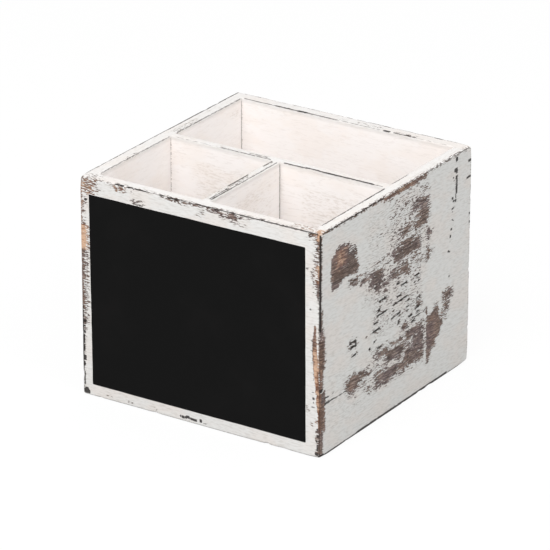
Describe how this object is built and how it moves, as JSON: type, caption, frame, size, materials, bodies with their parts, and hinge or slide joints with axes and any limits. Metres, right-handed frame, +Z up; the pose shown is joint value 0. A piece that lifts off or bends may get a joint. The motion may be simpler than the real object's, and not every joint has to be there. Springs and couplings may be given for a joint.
{
  "type": "cutlery caddy",
  "caption": "Open-topped square caddy of worn white-painted boards, parted by dividers into compartments for cutlery or napkins, with a black chalkboard panel on its front.",
  "frame": {"origin": "centre of the outline on the plane that the box stands on", "axes": "+Z up, -Y towards the chalkboard front, +X to the right as seen from the front"},
  "size_m": [0.152, 0.152, 0.127],
  "materials": {
    "worn_white_paint": "matte white paint over brown wood, rubbed through at the arrises",
    "inner_white_paint": "thin matte warm white paint with the grain showing",
    "chalkboard_paint": "matte black chalkboard paint",
    "brad_steel": "plain steel wire"
  },
  "bodies": {
    "root": {"front_panel": "worn_white_paint", "back_panel": "worn_white_paint", "left_side": "worn_white_paint", "right_side": "worn_white_paint", "base_panel": "inner_white_paint", "cross_divider": "inner_white_paint", "centre_divider": "inner_white_paint", "chalkboard_coat": "chalkboard_paint", "front_corner_brads": "brad_steel", "back_corner_brads": "brad_steel", "base_brads": "brad_steel", "cross_divider_brads": "brad_steel", "centre_divider_brads": "brad_steel"}
  },
  "joints": []
}
